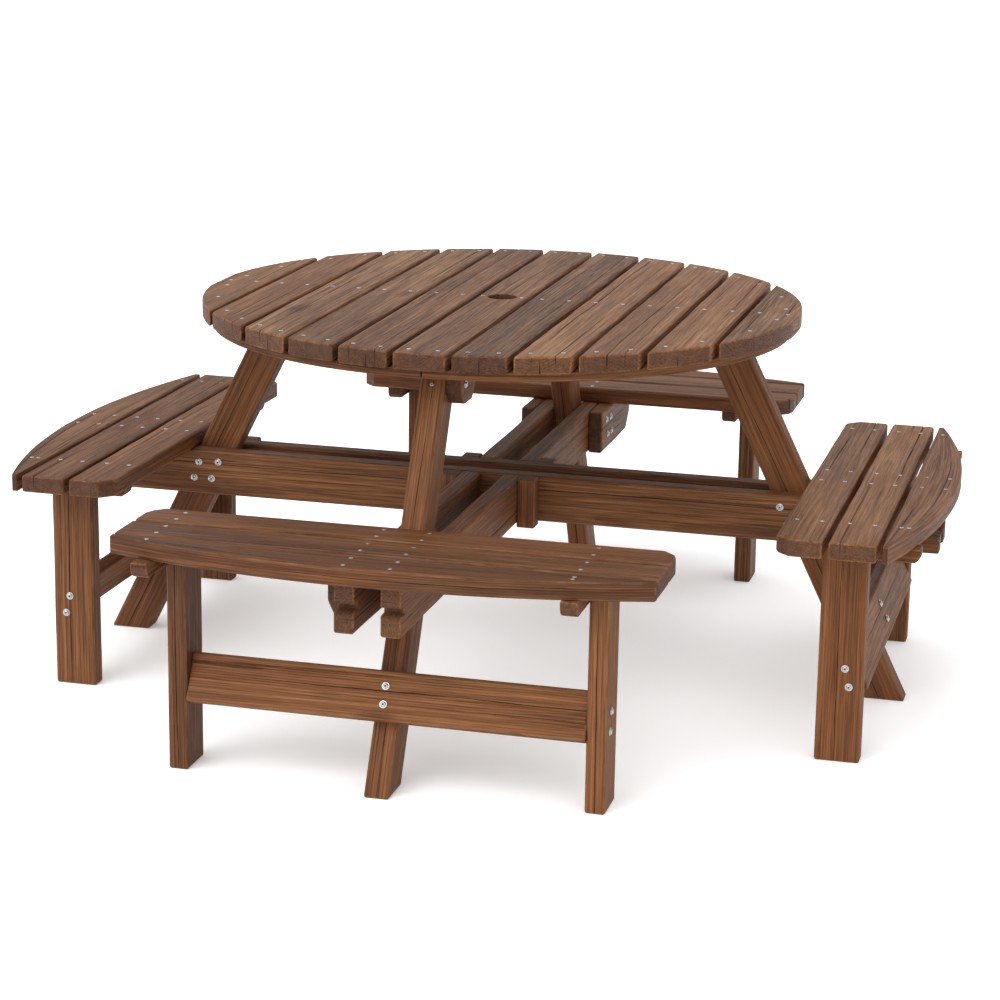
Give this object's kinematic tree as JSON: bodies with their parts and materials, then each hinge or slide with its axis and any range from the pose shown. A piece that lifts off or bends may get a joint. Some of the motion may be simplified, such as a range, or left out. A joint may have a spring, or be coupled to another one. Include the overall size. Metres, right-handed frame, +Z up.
{
  "type": "round picnic table",
  "caption": "Round slatted picnic table with a parasol hole, four sloping legs, crossed rails and a short curved bench on each side.",
  "frame": {"origin": "on the floor, under the middle of the table top", "axes": "+Z up; the slats of the top run along Y; the through rails run along X, with a bench at -Y, +X, +Y and -X"},
  "size_m": [1.7478, 1.7478, 0.72],
  "materials": {
    "weathered_wood": "brown stained softwood worn greyer on top, with lengthwise grain and drying cracks",
    "frame_wood": "reddish brown stained softwood, satin, with lengthwise grain",
    "zinc_fastener": "bright zinc-plated screws, washers and bolt heads"
  },
  "bodies": {
    "root": {"bench_bolts": "zinc_fastener", "bench_leg_back_left": "frame_wood", "bench_leg_back_right": "frame_wood", "bench_leg_front_left": "frame_wood", "bench_leg_front_right": "frame_wood", "bench_leg_left_near": "frame_wood", "bench_leg_left_rear": "frame_wood", "bench_leg_right_near": "frame_wood", "bench_leg_right_rear": "frame_wood", "corner_blocks": "frame_wood", "leg_back": "frame_wood", "leg_front": "frame_wood", "leg_left": "frame_wood", "leg_right": "frame_wood", "leg_top_blocks": "frame_wood", "leg_top_bolts": "zinc_fastener", "mid_batten": "frame_wood", "rail_back_left": "frame_wood", "rail_back_right": "frame_wood", "rail_bolts": "zinc_fastener", "rail_front_left": "frame_wood", "rail_front_right": "frame_wood", "rail_through_back": "frame_wood", "rail_through_front": "frame_wood", "rim_batten_back_left": "frame_wood", "rim_batten_back_right": "frame_wood", "rim_batten_front_left": "frame_wood", "rim_batten_front_right": "frame_wood", "seat_back_inner": "weathered_wood", "seat_back_middle": "weathered_wood", "seat_back_outer": "weathered_wood", "seat_bearers": "frame_wood", "seat_cleats": "frame_wood", "seat_front_inner": "weathered_wood", "seat_front_middle": "weathered_wood", "seat_front_outer": "weathered_wood", "seat_left_inner": "weathered_wood", "seat_left_middle": "weathered_wood", "seat_left_outer": "weathered_wood", "seat_right_inner": "weathered_wood", "seat_right_middle": "weathered_wood", "seat_right_outer": "weathered_wood", "seat_screws": "zinc_fastener", "slat_01": "weathered_wood", "slat_02": "weathered_wood", "slat_03": "weathered_wood", "slat_04": "weathered_wood", "slat_05": "weathered_wood", "slat_06": "weathered_wood", "slat_07": "weathered_wood", "slat_08": "weathered_wood", "slat_09": "weathered_wood", "slat_10": "weathered_wood", "slat_11": "weathered_wood", "slat_screws": "zinc_fastener", "stretcher_back": "frame_wood", "stretcher_front": "frame_wood", "stretcher_left": "frame_wood", "stretcher_right": "frame_wood"}
  },
  "joints": []
}
